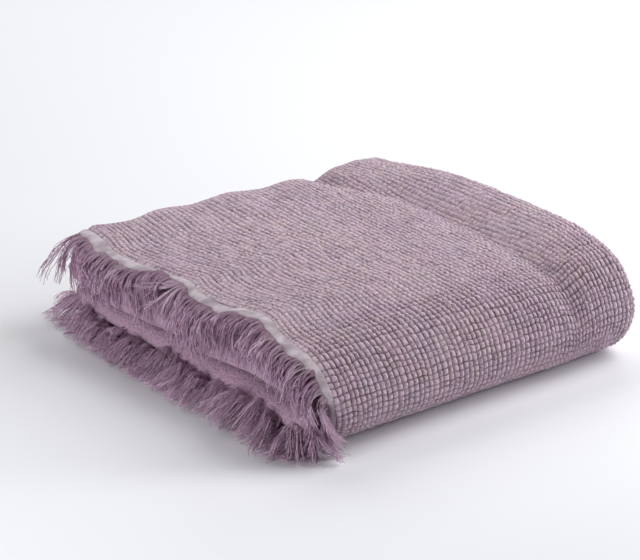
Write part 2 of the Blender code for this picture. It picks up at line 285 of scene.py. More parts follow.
# Where they hang otherwise
BACK_LOCKS = 0.060  # how far in front of the back edges they start to fan out
BACK_SPLAY = 1.1
FLOOR_FACING = 0.70 * math.pi  # from this facing on they come to lie on the floor
FLOOR_FACING_REACH = 0.22 * math.pi
CORNER_FACING = 0.50 * math.pi  # they fan out as tufts round this one
CORNER_FACING_REACH = 0.50
TUFT_CORNER = 0.3
TUFT_SHARE = 0.95
TUFT_SWAY = (0.15, 0.95)
STRAY_ACROSS = TOP_START + 0.222  # a lock that lies along the heading, before the buckle
STRAY_WIDTH = 0.010
STRAY_SWAY = 1.9
PALE_CORNER = 0.6  # how much paler the tufts, the stray lock and the floor's locks are
PALE_STRAY = 0.4
PALE_FLOOR = 0.3
LOCK_TINT = 0.35  # share of a thread's tint that is its lock's
GATHER = (0.45, 0.85)  # how far a lock's threads draw together
GATHERED = 0.35  # share of their length by which they have
FLARE_FROM = 0.15  # and from which, and over which, they stray apart
FLARE_OVER = 0.70

# How the floor's locks run: out, up over the fold's edge, and down again
FLOOR_OUT = 0.013
FLOOR_UP = 0.006
FLOOR_OVER = 0.026
FLOOR_OVER_HIGH = 0.008  # how much further where they stand up more
FLOOR_DOWN = 0.015
FLOOR_START = -0.10  # their slopes, in radians: at first,
FLOOR_STAND = 1.25  # standing up,
FLOOR_FALL = (0.5, 1.0)  # and coming down, least and most
FLOOR_PILE = 0.003  # how far above the floor they come to lie
FLOOR_TURN = 0.6  # how firmly the floor turns a thread outwards

# The hidden fringe
HIDDEN_PITCH = 0.0013
HIDDEN_LENGTH = 0.036
HIDDEN_LENGTHS = (0.75, 1.0)  # a thread's length, against that
HIDDEN_LEVELS = (0.35, 0.75)  # share of the cloth's loft at which it lies
HIDDEN_WAVE = (0.004, 0.0015)  # aside, and up
HIDDEN_IN = 0.001
HIDDEN_RINGS = 7

# Studio
VIEW_AZIMUTH = math.radians(36.65)
VIEW_DOWN = math.radians(22.32)
VIEW_DISTANCE = 2.422
VIEW_TARGET = Vector((-0.0079, 0.0430, 0.06))
VIEW_LENS = 115.4
AIR_GLOW = 0.015  # the faint light of the room itself
FLOOR_REACH = 12.0
FLOOR_LEVEL = -0.0002  # a hair below the throw
MIDDLE = (0.0, 0.0, 0.05)
LAMPS = (  # name, place, what it is aimed at, width, watts
    ("right_softbox", (1.28, -0.46, 1.6), MIDDLE, 1.4, 29.5),
    ("right_card", (2.2, -1.4, 0.9), MIDDLE, 0.8, 31.0),
    ("back_right_card", (1.9, 1.3, 1.3), MIDDLE, 0.9, 8.5),
    ("back_wash", (0.4, 2.6, 2.2), (0.2, 1.8, 0.0), 2.5, 51.0),
    ("left_card", (-1.7, 0.1, 0.45), MIDDLE, 0.9, 10.9),
    ("low_left_card", (-1.2, -0.5, 0.22), (-0.1, 0.0, 0.05), 0.5, 3.3),
)


def clamp(value):
    return min(1.0, max(0.0, value))


def smooth(value):
    """0 below 0, 1 above 1, and an even ease between."""
    value = clamp(value)
    return value * value * (3 - 2 * value)


def hump(value):
    return math.exp(-value * value)


def ease(first, second, share):
    return first + (second - first) * share


def near_back(y, reach):
    """1 at the edges at the back, easing to 0 at that reach in front of them."""
    return smooth(1 + (y - DEPTH) / reach)


def uneven(first, second, layer):
    """Soft noise from -1 to 1, changing over steps of about 1. Each layer is its own pattern."""
    return noise.noise(Vector((first, second, layer)))


def fold_in_half(across, lift):
    """Across the width: (distance round the front, height in the doubled pack)."""
    middle = HALF_PACK / 2
    if across <= RUN:
        return across, middle + FOLD_IN + lift
    turn = (across - RUN) / TURN_RADIUS
    if turn < math.pi:
        radius = FOLD_IN + lift
        return RUN + radius * math.sin(turn), middle + radius * math.cos(turn)
    return 2 * RUN + TURN_ARC - across, middle - FOLD_IN - lift


def fold_in_thirds(along, lift):
    """Along the length: (X, height in the pack of six). The fringed panel ends up on top."""
    if along <= FAR_FOLD_X:
        return along, FAR_FOLD_Z + FOLD_IN + lift
    along -= FAR_FOLD_X
    if along < FOLD_ARC:
        turn = along / FOLD_OUT
        radius = FOLD_IN + lift
        return FAR_FOLD_X + radius * math.sin(turn), FAR_FOLD_Z + radius * math.cos(turn)
    along -= FOLD_ARC
    if along <= MIDDLE_PANEL:
        return FAR_FOLD_X - along, FAR_FOLD_Z - FOLD_IN - lift
    along -= MIDDLE_PANEL
    if along < FOLD_ARC:
        turn = along / FOLD_OUT
        radius = FOLD_OUT - lift
        return NEAR_FOLD_X - radius * math.sin(turn), NEAR_FOLD_Z + radius * math.cos(turn)
    return NEAR_FOLD_X + along - FOLD_ARC, lift


def fold_over_front(round_front, lift):
    """Over the front: (Y, Z). The upper and lower halves lie on each other behind it."""
    into_arm = max(0.0, ARM - round_front, round_front - ARM - FRONT_ARC)
    hollow = FRONT_AIR + (ARM_AIR - FRONT_AIR) * smooth(into_arm / HOLLOW_LENGTH)
    radius = hollow + lift * (HALF_HEIGHT - hollow) / THIRD_PACK
    if round_front <= ARM:
        return DEPTH - round_front, HALF_HEIGHT - radius
    turn = (round_front - ARM) / HALF_HEIGHT
    if turn < math.pi:
        return HALF_HEIGHT - radius * math.sin(turn), HALF_HEIGHT - radius * math.cos(turn)
    return HALF_HEIGHT + round_front - ARM - FRONT_ARC, HALF_HEIGHT + radius


def settle(x, y, z):
    """The give of soft cloth: pressed below, loose above, and uneven at its edges."""
    share = z / HEIGHT
    rear = near_back(y, VALLEY_BACK_REACH)
    near = 1 - smooth(x / (LENGTH * END_REACH))
    past_valley = x - VALLEY_X + VALLEY_SLANT * (1 - smooth(y / SLANT_DEPTH)) + VALLEY_BACK * rear
    far = smooth(past_valley / (ROLL_LENGTH + ROLL_BACK_LENGTH * rear))

    crown = math.sin(math.pi * clamp(y / DEPTH))
    roll = (ROLL_SHARE + ROLL_CROWN * crown) * far
    valley = VALLEY_SHARE * hump(past_valley / VALLEY_HALF_WIDTH)
    drop = SHOULDER_DROP * smooth(1 - y / SHOULDER_REACH) ** 2 * (1 - ROLL_HOLDS * far)
    drop += FAR_BACK_DROP * rear * smooth(1 + (x - LENGTH) / CORNER_REACH)
    height = z * (1 - PRESS * (1 - share)) * (1 + roll - valley - drop)
    hem = HEM_RISE + HEM_WAVE * math.sin(HEM_TURNS * x + HEM_START)
    height += hem * rear * share * (1 - far)
    between_halves = hump((z - HALF_HEIGHT) / HALVES_SPREAD)
    height -= HALVES_SAG * (near * smooth((y - HALVES_START) / HALVES_REACH) * between_halves)

    bump = EDGE_BUMP * hump((y - EDGE_BUMP_Y) / EDGE_BUMP_WIDTH)
    bump -= sum(dent * hump((y - place) / width) for dent, place, width in EDGE_DENTS)
    out = END_SHIFT + END_LEAN * y / DEPTH - END_UNDERCUT * (1 - share) + bump * smooth(share)
    bulge = END_BULGE * math.sin(math.pi * min(1.0, share)) + END_TIP * (share - END_TIP_LEVEL)
    far_wide = smooth((past_valley + CORNER_LENGTH / 4) / CORNER_LENGTH)
    corner = CORNER_IN * (1 - smooth(y / CORNER_DEPTH)) * far_wide
    corner += FAR_BACK_IN * rear * far_wide

    ripple = BACK_WAVE_TURNS * x + BACK_LAYER_TURNS * share + BACK_WAVE_START
    fine = BACK_FINE * math.sin(BACK_FINE_TURNS * BACK_LAYER_TURNS * share)
    wave = BACK_WAVE * (math.sin(ripple) + fine) * smooth(1 + (y / DEPTH - 1) / BACK_REACH)
    drawn = share * near_back(y, NEAR_BACK_REACH) * smooth(1 - x / NEAR_BACK_REACH)
    place = Vector((x - near * out + bulge * far - corner, y + wave, height))
    return place + Vector(NEAR_BACK) * drawn


def folded(along, across, lift):
    """Where a point of the flat throw ends up, before it is set down in the frame."""
    round_front, lift = fold_in_half(across, lift)
    x, lift = fold_in_thirds(along, lift)
    y, z = fold_over_front(round_front, lift)
    return settle(x, y, z)


def place_in_frame():
    """What moves the folded throw onto its solid."""
    low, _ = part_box("blanket_cloth")
    near_fold = FAR_FOLD_X + FOLD_ARC + MIDDLE_PANEL + FOLD_ARC / 2
    steps = 200
    places = [FLAT_WIDTH * step / steps for step in range(steps)]
    lowest = min(folded(near_fold, across, CLOTH).x for across in places)
    return Vector((low.x - lowest, low.y, 0.0))


SET_DOWN = place_in_frame()


def spans(*parts):
    """Places along a line of spans, each given as (length, number of steps)."""
    places = [0.0]
    for length, count in parts:
        start = places[-1]
        places += [start + length * (index + 1) / count for index in range(count)]
    return places


def column_places():
    """The grooves between ribs over the outer panel and far fold, then plain steps."""
    return spans(
        (FAR_FOLD_X + FOLD_ARC, RIBS), (MIDDLE_PANEL, MIDDLE_STEPS),
        (FOLD_ARC, FOLD_STEPS), (LAST_PANEL, LAST_STEPS),
    )


def row_places():
    """Plain steps under the throw, unevenly spaced rows over the front and top, and the rest.

    Gives the places, and the first and the last crinkled row.
    """
    rng = random.Random(ROW_SEED)
    grooves = [0.0]
    while grooves[-1] < RUN - ROWS_START:
        grooves.append(grooves[-1] + rng.uniform(ROW_SHORTEST, ROW_LONGEST))
    fit = (RUN - ROWS_START) / grooves[-1]
    under = spans((ROWS_START, UNDER_STEPS))
    rows = [ROWS_START + groove * fit for groove in grooves[1:]]
    turn = [RUN + TURN_ARC * (step + 1) / TURN_STEPS for step in range(TURN_STEPS)]
    inner = spans(*zip((RUN - TOP_START, FRONT_ARC, ARM), INNER_STEPS))
    inner = [RUN + TURN_ARC + place for place in inner[1:]]
    return under + rows + turn + inner, len(under) - 1, len(under) + len(rows) + 1


COLUMNS = column_places()
ROWS, FIRST_ROW, LAST_ROW = row_places()
TOP_ROW = next(row for row, place in enumerate(ROWS) if place > TOP_START + TOP_CUTS_FROM)


def between(places, index):
    """The place at a whole or part index."""
    before = min(int(index), len(places) - 2)
    return places[before] + (places[before + 1] - places[before]) * (index - before)


def crowd(index):
    """The index with the steps inside its cell moved towards the grooves."""
    return index - CROWDING * math.sin(2 * math.pi * index)


def groove(index):
    """0 on the crown of a cell and 1 in a groove."""
    return abs(2 * (index % 1.0) - 1) ** DOME


def edge_loft(along, across):
    """The share of the loft left near the cut edges and selvedges."""
    nearest = min(along, FLAT_LENGTH - along, across, FLAT_WIDTH - across)
    return EDGE_LOFT + (1 - EDGE_LOFT) * math.sqrt(smooth(nearest / EDGE_TAPER))


def flat_top(row):
    """0 over the front fold and 1 on the flat top."""
    return smooth((between(ROWS, row) - TOP_START + SLACK_BEFORE) / SLACK_REACH)


def wander(column, row):
    """How far the grooves stray from straight lines, along and across."""
    along = RIB_WANDER * uneven(column * 0.83, row * 0.31, 1.0)
    along += RIB_DRIFT * uneven(column * 0.10, row * 0.07, 6.0)
    across = ROW_WANDER * uneven(column * 0.55, row * 0.42, 5.0)
    stagger = uneven(math.floor(column) * 7.31, row * 0.21, 9.0)
    return along, across + ease(FRONT_STAGGER, TOP_STAGGER, flat_top(row)) * stagger


def puffed(column, row):
    """Height of the crinkle over the solid's face."""
    top = flat_top(row)
    held = ease(FRONT_HELD, TOP_HELD, top)
    rib_held = uneven(round(column) * 5.3, row * ease(0.9, 0.22, top), 11.0)
    row_held = uneven(column * 0.6, round(row) * 4.1, 13.0)
    rib_dip = groove(column) * clamp(HELD + held * rib_held)
    row_dip = groove(row) * clamp(HELD + held * row_held)
    row_dip *= ease(FRONT_GROOVE, TOP_GROOVE, top)
    dome = (1 - rib_dip) * (1 - row_dip)
    size = 1 + CELL_UNEVEN * uneven(math.floor(column) * 3.7, math.floor(row) * 2.9, 2.0)
    size += PATCH_UNEVEN * uneven(column * 0.12, row * 0.12, 4.0)
    return ease(FRONT_PUFF, TOP_PUFF, top) * dome * size - ease(FRONT_SUNK, TOP_SUNK, top)


def crinkled_share(column, row):
    """1 over the outer panel and far fold, easing to 0 at the edge of the crinkled part."""
    inside = min(RIBS - column, row - FIRST_ROW, (LAST_ROW - row) / BACK_FADE)
    return smooth(inside / CRINKLE_FADE)


def slab(columns, rows, thickness, place):
    """A flat closed slab of columns by rows, each corner put where place says."""
    mesh = bmesh.new()
    bmesh.ops.create_grid(mesh, x_segments=columns, y_segments=rows, size=1.0)
    for vert in mesh.verts:
        vert.co = place((vert.co.x + 1) / 2, (vert.co.y + 1) / 2)
    raised = bmesh.ops.extrude_face_region(mesh, geom=mesh.faces[:])
    lifted = [item for item in raised["geom"] if isinstance(item, bmesh.types.BMVert)]
    bmesh.ops.translate(mesh, verts=lifted, vec=(0.0, 0.0, thickness))
    bmesh.ops.recalc_face_normals(mesh, faces=mesh.faces[:])
    return mesh


def make_cloth(material):
    """The whole cloth: a flat slab, its outer panel cut into cells, puffed and folded."""
    last_column = len(COLUMNS) - 1
    last_row = len(ROWS) - 1
    mesh = slab(last_column, last_row, 1.0, lambda column, row: Vector((
        round(column * last_column), round(row * last_row), 0.0,
    )))
    cut_cells(mesh, 0, RIB_CUTS, FIRST_ROW, LAST_ROW)
    cut_cells(mesh, 1, FRONT_CUTS, FIRST_ROW, TOP_ROW)
    cut_cells(mesh, 1, TOP_CUTS, TOP_ROW, LAST_ROW)
    slack = mesh.verts.layers.float.new("slack")
    # inner: how much painted shade the plain faces near the fringed end take
    inner = mesh.verts.layers.float.new("inner")
    cell = mesh.loops.layers.uv.new("cell")
    thread = mesh.loops.layers.uv.new("thread")
    for face in mesh.faces:
        for loop in face.loops:
            column, row, side = loop.vert.co
            loop[cell].uv = cell_place(column, row, side)
            loop[thread].uv = (between(COLUMNS, column), between(ROWS, row))
    for vert in mesh.verts:
        column, row, side = vert.co
        vert[slack] = flat_top(row)
        vert.co = cloth_point(column, row, side)
        # painted shade on the plain faces near the fringed end, where the inner folds lie
        plain = 1 - crinkled_share(column, row) * side
        vert[inner] = plain * smooth((INNER_SHADE_REACH - vert.co.x + SET_DOWN.x) / INNER_SHADE_FADE)
    return finish(mesh, "throw_cloth", material)


def cut_cells(mesh, axis, cuts, low_row, high_row):
    """Cuts the crinkled cells of the raised side across one axis, between two rows."""
    edges = set()
    for face in mesh.faces:
        centre = face.calc_center_median()
        raised = centre.z > RAISED_SIDE
        if raised and centre.x < RIBS and low_row < centre.y < high_row:
            edges.update(face.edges)
    chosen = []
    for edge in mesh.edges:
        first, second = edge.verts
        level = abs(first.co[1 - axis] - second.co[1 - axis]) < SAME_LINE
        if level and edge in edges:
            chosen.append(edge)
    bmesh.ops.subdivide_edges(mesh, edges=chosen, cuts=cuts, use_grid_fill=True)


def cell_place(column, row, side):
    """The place in ribs and rows, or the middle of a cell where the face is plain."""
    if side > 0.5 and column <= RIBS and FIRST_ROW <= row <= LAST_ROW:
        return crowd(column), crowd(row)
    return 0.5, 0.5


def cloth_point(column, row, side):
    """Where a point of the slab ends up."""
    share = crinkled_share(column, row) if side > 0.5 else 0.0
    if share > 0:
        column = crowd(column)
        row = crowd(row)
    along = between(COLUMNS, column)
    across = between(ROWS, row)
    middle = CLOTH / 2
    soft = uneven(along * WRINKLE_TURNS[0], across * WRINKLE_TURNS[1], side)
    lift = CLOTH * side + WRINKLE * soft * (1 - share)
    if share > 0:
        lift += puffed(column, row) * share
        astray = wander(column, row)
        edge = smooth(along / EDGE_HOLD)
        along += astray[0] * share * edge
        across += astray[1] * share
    loft = edge_loft(along, across)
    point = folded(along, across, middle + (lift - middle) * loft) + SET_DOWN
    return Vector((point.x, point.y, max(FLOOR, point.z)))


def stepped(value, layer):
    """From -1 to 1, level over each unit of the value, with a short slope between."""
    whole = math.floor(value)
    before = noise.cell(Vector((whole, layer, 0.5)))
    after = noise.cell(Vector((whole + 1, layer, 0.5)))
    slope = smooth((value - whole - (1 - TAPE_FOLD_SLOPE)) / TAPE_FOLD_SLOPE)
    return 2 * (before + (after - before) * slope) - 1


def tape_shape(across):
    """The heading's lift, sideways shift and share of its full width there."""
    buckle = hump((across - BUCKLE_ACROSS) / BUCKLE_WIDTH)
    lift = TAPE_WAVE * uneven(across * LIFT_TURNS, 3.0, 0.0) + BUCKLE_LIFT * buckle
    lift += TAPE_FOLD_LIFT * stepped(across / TAPE_FOLD, 7.0)
    shift = TAPE_WAVE * uneven(across * SHIFT_TURNS, 8.0, 0.0)
    shift += TAPE_FOLD_SHIFT * stepped(across / TAPE_FOLD, 3.0)
    narrow = TAPE_NARROW_MEAN + TAPE_NARROW_UNEVEN * uneven(across * NARROW_TURNS, 4.0, 0.0)
    narrow += BUCKLE_NARROW * buckle
    narrow += TAPE_ON_EDGE_MORE * hump((across - TAPE_ON_EDGE) / TAPE_ON_EDGE_REACH)
    narrow += TAPE_TUCKED_MORE * smooth((TAPE_TUCKED - across) / TAPE_TUCKED_REACH)
    width = TAPE_WIDEST - TAPE_NARROW * clamp(narrow)
    return lift, shift - TAPE_LAP, width


def open_heading_point(share, across, thickness):
    """A point of the heading that shows; share is 0 at its outer edge, and 1 at the cloth."""
    lift, shift, width = tape_shape(across)
    outer = shift - HEADING * width + TAPE_FRAY * uneven(across * FRAY_TURNS, 2.0, 0.0)
    bow = TAPE_BOW * (1 - width) * math.sin(math.pi * share)
    base = CLOTH * TAPE_LEVEL + thickness + lift * (1 - TAPE_EASE * share) + bow
    return folded(outer + (TAPE_LAP - outer) * share, across, base)


def hidden_heading_point(share, across, thickness):
    along = FLAT_LENGTH + HEADING * (1 - share) - TAPE_LAP * share
    return folded(along, across, CLOTH * TAPE_LEVEL + thickness)


def make_heading(name, point, material):
    """The flat pale heading at one end, each of its points put where point says."""
    rows = round(FLAT_WIDTH / TAPE_STEP)
    mesh = slab(TAPE_COLUMNS, rows, TAPE, lambda column, row: Vector((
        column, row * FLAT_WIDTH, 0.0,
    )))
    thread = mesh.loops.layers.uv.new("thread")
    for face in mesh.faces:
        for loop in face.loops:
            share, across, _ = loop.vert.co
            loop[thread].uv = (share * HEADING, across)
    for vert in mesh.verts:
        vert.co = point(*vert.co) + SET_DOWN
        vert.co.z = max(FLOOR, vert.co.z)
    return finish(mesh, name, material)


def facing_of(round_front):
    """Angle from straight up of the outer face there: 0 on top, pi underneath."""
    return math.pi - min(math.pi, max(0.0, (round_front - ARM) / HALF_HEIGHT))


def lock_shape(across, rng):
    """How one lock hangs: its bend, sway, length and curl."""
    round_front, _ = fold_in_half(across, 0.0)
    facing = facing_of(round_front)
    root = folded(-HEADING, across, CLOTH / 2)
    outer = across < RUN + TURN_ARC / 2
    back = near_back(root.y, BACK_LOCKS)
    fanned = back if outer else 0.0
    stray = hump((across - STRAY_ACROSS) / STRAY_WIDTH) if outer else 0.0
    floor = smooth((facing - FLOOR_FACING) / FLOOR_FACING_REACH)
    corner = hump((facing - CORNER_FACING) / CORNER_FACING_REACH) if outer else 0.0
    drift = uneven(across * 30, 0.0, 0.0)
    slow = uneven(across * 9, 4.0, 0.0)
    rise = clamp(rng.uniform(*RISE) + RISE_SLOW * slow + RISE_BACK * back)
    hanging = ease(HANGING_SHORT, HANGING_LONG, smooth(root.y / DEPTH * HANGING_GROWTH))
    lying = ease(FLOOR_SHORT, FLOOR_LONG, rise)
    longer = OUTER_BACK_LONGER if outer else INNER_BACK_LONGER
    splay = back * rng.uniform(0.0, BACK_SPLAY)
    sway = splay + SWAY_DRIFT * drift + SWAY_SLOW * slow + STRAY_SWAY * stray
    bend = BEND if outer else INNER_BEND
    turned = TURNED - SPLAY_TURNED * splay - STRAY_TURNED * stray
    tuft = corner > TUFT_CORNER and rng.random() < TUFT_SHARE
    if tuft:
        bend = CORNER_BEND
        turned += TUFT_TURNED
        sway -= rng.uniform(*TUFT_SWAY)
    wide = 1 + BACK_WIDER * fanned * rng.random()
    pale = PALE_CORNER * corner + PALE_STRAY * stray + PALE_FLOOR * floor
    return {
        "turned": math.radians(turned),
        "bend": (bend[0] * wide, bend[1] * wide),
        "sway": sway + rng.gauss(0.0, SWAY_LOCK),
        "length": ease(hanging, lying, floor) * (1 + longer * back ** 2 * (1 - floor)),
        "ragged": rng.uniform(*RAGGED),
        "curl": rng.uniform(*CURL) * (1 - FANNED_EVEN * fanned) - FANNED_OUT * fanned,
        "rise": rise,
        "gather": rng.uniform(*GATHER),
        "seed": rng.uniform(0.0, 100.0),
        "floor": floor,
        "tint": min(1.0, rng.random() + pale),
    }


def steer(lock, reach, share, radius):
    """A thread's slope at that reach: 0 is straight out, and more is downwards."""
    hang = min(lock["turned"], max(0.0, reach - THREAD_IN) / radius)
    hang += lock["curl"] * share * share
    if lock["floor"] == 0:
        return hang
    rise = lock["rise"]
    up = smooth((reach - FLOOR_OUT) / FLOOR_UP)
    down = smooth((reach - FLOOR_OVER - FLOOR_OVER_HIGH * rise) / FLOOR_DOWN)
    stand = FLOOR_START - FLOOR_STAND * rise * up * (1 - down) + ease(*FLOOR_FALL, rise) * down
    return ease(hang, stand, lock["floor"])


def thread_way(place, angle, sideways, wave, drop):
    """The way a thread takes from that place, kept off the floor and inside its limits."""
    way = Vector((-math.cos(angle), sideways, -math.sin(angle))).normalized()
    way = (way + wave).normalized()
    if way.z < drop:
        way = Vector((way.x - FLOOR_TURN, way.y, 0.0)).normalized()
    way.x *= smooth((place.x - OUTERMOST) / LIMIT_REACH)
    if way.y > 0:
        way.y *= smooth((REARMOST - place.y) / LIMIT_REACH)
    return way


def thread_points(across, lock, offset, rng):
    """The centres of a thread's rings, from inside the heading to its tip."""
    lift, shift, width = tape_shape(across)
    root_lift = CLOTH * TAPE_LEVEL + TAPE / 2 + lift
    root = folded(-HEADING * width + THREAD_IN + shift, across, root_lift)
    aside = folded(-HEADING, across + 0.001, CLOTH / 2) - folded(-HEADING, across, CLOTH / 2)
    aside = aside.normalized() * offset
    length = lock["length"] * lock["ragged"] * rng.uniform(*THREAD_LENGTHS)
    step = length / (THREAD_RINGS - 1)
    radius = rng.uniform(*lock["bend"])
    sway = lock["sway"] + rng.gauss(0.0, SWAY_THREAD)
    flare = Vector((rng.gauss(0.0, FLARE[0]), rng.gauss(0.0, FLARE[1]), 0.0))
    seed = lock["seed"] + rng.uniform(0.0, UNLIKE)
    low = FLOOR + THREAD_HALF + rng.uniform(0.0, FLOOR_PILE)
    root.z = max(low, root.z)
    place = root.copy()
    points = [root]
    for ring in range(1, THREAD_RINGS):
        share = ring / (THREAD_RINGS - 1)
        angle = steer(lock, (ring - 0.5) * step, share, radius)
        turn = Vector((share * WAVE_TURNS + seed, seed * 1.7, 0.0))
        wave = Vector()
        for short, strong in WAVES:
            wave += noise.noise_vector(turn * short) * strong
        wave *= min(1.0, WAVE_SOON * share)
        drop = (low - place.z) / step
        place = place + thread_way(place, angle, sway * smooth(share * SWAY_SOON), wave, drop) * step
        together = aside * lock["gather"] * smooth(share / GATHERED)
        apart = flare * smooth((share - FLARE_FROM) / FLARE_OVER)
        point = place - together + apart
        points.append(Vector((point.x, point.y, max(low, point.z))))
    return points


def open_end_threads(start, end, seed):
    """Threads of the fringe that shows, lock by lock along one stretch of the edge."""
    rng = random.Random(seed)
    locks = round((end - start) / LOCK_PITCH)
    threads = []
    for index in range(locks):
        centre = start + (end - start) * (index + 0.5) / locks
        lock = lock_shape(centre, rng)
        for _ in range(LOCK_THREADS):
            offset = rng.uniform(-0.5, 0.5) * LOCK_PITCH * LOCK_OVERLAP
            across = min(end - 0.0005, max(start + 0.0005, centre + offset))
            points = thread_points(across, lock, offset, rng)
            tint = LOCK_TINT * lock["tint"] + (1 - LOCK_TINT) * rng.random()
            threads.append(([point + SET_DOWN for point in points], tint))
    return threads


def hidden_threads():
    """Threads of the hidden fringe, flat in its own layer."""
    rng = random.Random(HIDDEN_SEED)
    count = round(FLAT_WIDTH / HIDDEN_PITCH)
    threads = []
    for index in range(count):
        across = FLAT_WIDTH * (index + 0.5) / count
        length = HIDDEN_LENGTH * rng.uniform(*HIDDEN_LENGTHS)
        lift = CLOTH * rng.uniform(*HIDDEN_LEVELS)
        seed = rng.uniform(0.0, 100.0)
        points = []
        for ring in range(HIDDEN_RINGS):
            share = ring / (HIDDEN_RINGS - 1)
            wave = noise.noise_vector(Vector((share * 2.5, seed, index / 9)))
            aside = across + HIDDEN_WAVE[0] * wave.x * share
            aside = min(FLAT_WIDTH, max(0.0, aside))
            along = FLAT_LENGTH + HEADING - HIDDEN_IN + length * share
            level = lift + HIDDEN_WAVE[1] * wave.y * share
            points.append(folded(along, aside, level) + SET_DOWN)
        threads.append((points, rng.random()))
    return threads


UPWARDS = Vector((0.31, 0.17, 0.93))
CORNERS = [(math.cos(turn), math.sin(turn)) for turn in (0.0, math.tau / 3, 2 * math.tau / 3)]


def ring_corners(points, ring):
    """The corners of a thread's ring, square to its way."""
    before = points[max(0, ring - 1)]
    after = points[min(len(points) - 1, ring + 1)]
    way = (after - before).normalized()
    side = way.cross(UPWARDS).normalized()
    other = way.cross(side)
    half = THREAD_HALF * (1 - (1 - THREAD_TIP) * ring / (len(points) - 1))
    return [points[ring] + (side * turn[0] + other * turn[1]) * half for turn in CORNERS]


def make_fringe(name, threads, material):
    """Threads drawn out ring by ring, all at once, each from its own small root."""
    mesh = bmesh.new()
    bmesh.ops.create_grid(mesh, x_segments=(len(threads) + 1) // 2, y_segments=1, size=1.0)
    bmesh.ops.triangulate(mesh, faces=mesh.faces[:])
    bmesh.ops.split_edges(mesh, edges=mesh.edges[:])
    bmesh.ops.delete(mesh, geom=mesh.faces[len(threads):], context="FACES")
    number = mesh.verts.layers.int.new("number")
    corner = mesh.verts.layers.int.new("corner")
    outwards = mesh.verts.layers.float.new("outwards")
    tint = mesh.verts.layers.float.new("tint")
    for index, face in enumerate(mesh.faces):
        for turn, vert in enumerate(face.verts):
            vert[number] = index
            vert[corner] = turn
            vert[tint] = threads[index][1]
    faces = mesh.faces[:]
    rings = len(threads[0][0])
    for ring in range(rings):
        if ring:
            faces = bmesh.ops.extrude_discrete_faces(mesh, faces=faces)["faces"]
        for face in faces:
            corners = ring_corners(threads[face.verts[0][number]][0], ring)
            for vert in face.verts:
                vert.co = corners[vert[corner]]
                vert[outwards] = ring / (rings - 1)
    for spent in ("number", "corner"):
        mesh.verts.layers.int.remove(mesh.verts.layers.int[spent])
    return finish(mesh, name, material)


def finish(mesh, name, material):
    bmesh.ops.recalc_face_normals(mesh, faces=mesh.faces[:])
    data = bpy.data.meshes.new(name)
    mesh.to_mesh(data)
    mesh.free()
    data.shade_smooth()
    data.materials.append(material)
    piece = bpy.data.objects.new(name, data)
    bpy.context.scene.collection.objects.link(piece)
    return piece


def new_material(name, roughness, sheen):
    material = bpy.data.materials.new(name)
    material.use_nodes = True
    shader = material.node_tree.nodes["Principled BSDF"]
    shader.inputs["Roughness"].default_value = roughness
    shader.inputs["Sheen Weight"].default_value = sheen
    shader.inputs["Sheen Roughness"].default_value = 0.5
    shader.inputs["Specular IOR Level"].default_value = 0.25
    return material, material.node_tree, shader


def set_input(tree, socket, value):
    """Links a socket to a node's output, or gives it a plain value."""
    if isinstance(value, bpy.types.NodeSocket):
        tree.links.new(value, socket)
    else:
        socket.default_value = value


def uv_place(tree, name):
    node = tree.nodes.new("ShaderNodeUVMap")
    node.uv_map = name
    return node.outputs["UV"]


def attribute(tree, name):
    node = tree.nodes.new("ShaderNodeAttribute")
    node.attribute_name = name
    return node.outputs["Fac"]


def object_place(tree):
    return tree.nodes.new("ShaderNodeTexCoord").outputs["Object"]


def cloud(tree, place, scale, detail=2.0):
    node = tree.nodes.new("ShaderNodeTexNoise")
    set_input(tree, node.inputs["Vector"], place)
    node.inputs["Scale"].default_value = scale
    node.inputs["Detail"].default_value = detail
    return node.outputs["Fac"]


def lines(tree, place, direction, scale, distortion=0.0):
    node = tree.nodes.new("ShaderNodeTexWave")
    node.bands_direction = direction
    set_input(tree, node.inputs["Vector"], place)
    node.inputs["Scale"].default_value = scale
    node.inputs["Distortion"].default_value = distortion
    return node.outputs["Fac"]


def maths(tree, operation, *values):
    node = tree.nodes.new("ShaderNodeMath")
    node.operation = operation
    for socket, value in zip(node.inputs, values):
        set_input(tree, socket, value)
    return node.outputs["Value"]


def spread(tree, value, low, high, start=0.0, end=1.0):
    node = tree.nodes.new("ShaderNodeMapRange")
    set_input(tree, node.inputs["Value"], value)
    node.inputs["From Min"].default_value = low
    node.inputs["From Max"].default_value = high
    node.inputs["To Min"].default_value = start
    node.inputs["To Max"].default_value = end
    return node.outputs["Result"]


def blend(tree, share, first, second, kind="MIX"):
    node = tree.nodes.new("ShaderNodeMix")
    node.data_type = "RGBA"
    node.blend_type = kind
    set_input(tree, node.inputs["Factor"], share)
    set_input(tree, node.inputs["A"], first)
    set_input(tree, node.inputs["B"], second)
    return node.outputs["Result"]


def raise_by(tree, shader, height, distance, strength=1.0):
    """Adds a layer of bump on top of those that the shader has."""
    node = tree.nodes.new("ShaderNodeBump")
    node.inputs["Distance"].default_value = distance
    node.inputs["Strength"].default_value = strength
    set_input(tree, node.inputs["Height"], height)
    normal = shader.inputs["Normal"]
    if normal.is_linked:
        tree.links.new(normal.links[0].from_socket, node.inputs["Normal"])
    tree.links.new(node.outputs["Normal"], normal)


def srgb(red, green, blue):
    """A colour given as a paint chart gives it, 0 to 255."""
    return tuple((part / 255) ** 2.2 for part in (red, green, blue)) + (1.0,)


